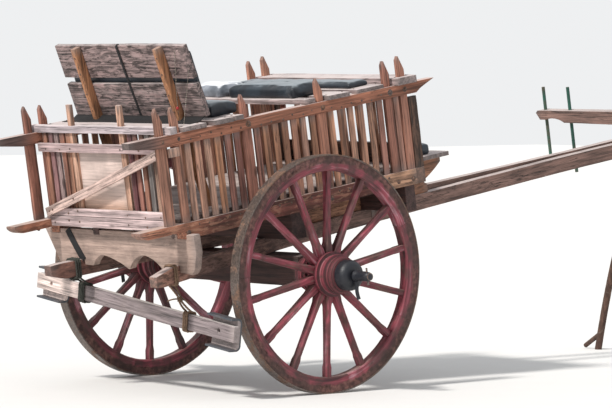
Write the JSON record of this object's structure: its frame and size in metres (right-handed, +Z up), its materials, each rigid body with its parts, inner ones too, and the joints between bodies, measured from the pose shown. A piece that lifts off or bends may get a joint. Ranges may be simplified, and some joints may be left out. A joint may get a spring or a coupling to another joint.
{
  "type": "bullock cart",
  "caption": "Two-wheeled wooden ox cart with spoked wheels, slatted sides, a raised rear backrest, cushioned benches, long shafts, a yoke and a hinged prop stick.",
  "frame": {"origin": "on the floor, under the middle of the cart's overall box", "axes": "+X forward to the oxen along the shafts, +Y to the cart's left, +Z up; the bed and shafts are pitched 9 degrees nose-up, as parked on the prop stick"},
  "size_m": [4.4272, 2.18, 1.8253],
  "materials": {
    "side_wood": "weathered bare hardwood, brown, planed and oiled by hands, grey at the ends",
    "tail_wood": "bare hardwood, pinkish tan, dusty",
    "valance_wood": "pale mottled plank, dry and dusty",
    "grey_wood": "old grey-brown planks with open grain",
    "batten_wood": "newer orange-brown wood",
    "shaft_wood": "grey purple-brown worn pole",
    "under_wood": "dark, oily and dirty underframe wood",
    "brake_wood": "pale sun-bleached plank",
    "red_wood": "thin worn dark red paint on wood",
    "iron": "worn grey iron with rust and mud",
    "rubber": "old black rubber, dusty",
    "vinyl": "blue-black upholstery vinyl, glossy with dust",
    "green_pin": "round stick painted dark green",
    "rope": "twisted brown rope",
    "stick_wood": "dark branch with its bark"
  },
  "bodies": {
    "cart": {"shaft_right": "shaft_wood", "sill_right": "side_wood", "top_rail_right": "side_wood", "side_posts_right": "side_wood", "side_slats_right": "side_wood", "shaft_left": "shaft_wood", "sill_left": "side_wood", "top_rail_left": "side_wood", "side_posts_left": "side_wood", "side_slats_left": "side_wood", "axle_beam": "under_wood", "bolsters": "under_wood", "floor_stringers": "under_wood", "floor_boards": "under_wood", "spindles": "iron", "linchpins": "iron", "prop_pin": "iron", "rear_bolster": "valance_wood", "shaft_cheeks": "side_wood", "front_beam": "side_wood", "front_slats": "side_wood", "driver_brackets": "side_wood", "front_boards": "grey_wood", "cross_planks": "grey_wood", "backrest_boards": "grey_wood", "driver_seat": "grey_wood", "gate_top_rail": "tail_wood", "gate_stakes": "tail_wood", "gate_slats": "tail_wood", "gate_boards": "tail_wood", "gate_panel": "tail_wood", "gate_brace": "tail_wood", "backrest_battens": "batten_wood", "cushion_back": "vinyl", "cushion_rear": "vinyl", "cushion_middle_right": "vinyl", "cushion_middle_left": "vinyl", "cushion_front": "vinyl", "cushion_driver": "vinyl", "yoke": "shaft_wood", "yoke_saddle": "shaft_wood", "yoke_pins": "green_pin", "yoke_lashing": "rope", "brake_hangers": "rope", "brake_beam": "brake_wood", "brake_shoes": "brake_wood", "brake_linings": "rubber"},
    "wheel_right": {"rim_right": "red_wood", "iron_tyre_right": "iron", "spokes_right": "red_wood", "hub_right": "red_wood", "hub_cap_right": "rubber"},
    "wheel_left": {"rim_left": "red_wood", "iron_tyre_left": "iron", "spokes_left": "red_wood", "hub_left": "red_wood", "hub_cap_left": "rubber"},
    "prop": {"prop_stick": "stick_wood"}
  },
  "joints": [
    {"name": "wheel_right_spin", "type": "hinge", "parent": "cart", "child": "wheel_right", "pos_m": [-1.03089, -0.7486, 0.625], "axis": [0, 1, 0], "continuous": true},
    {"name": "wheel_left_spin", "type": "hinge", "parent": "cart", "child": "wheel_left", "pos_m": [-1.03089, 0.7486, 0.625], "axis": [0, 1, 0], "continuous": true},
    {"name": "prop_fold", "type": "hinge", "parent": "cart", "child": "prop", "pos_m": [1.98968, 0, 1.24263], "axis": [0, 1, 0], "range_deg": [0, 70]}
  ]
}
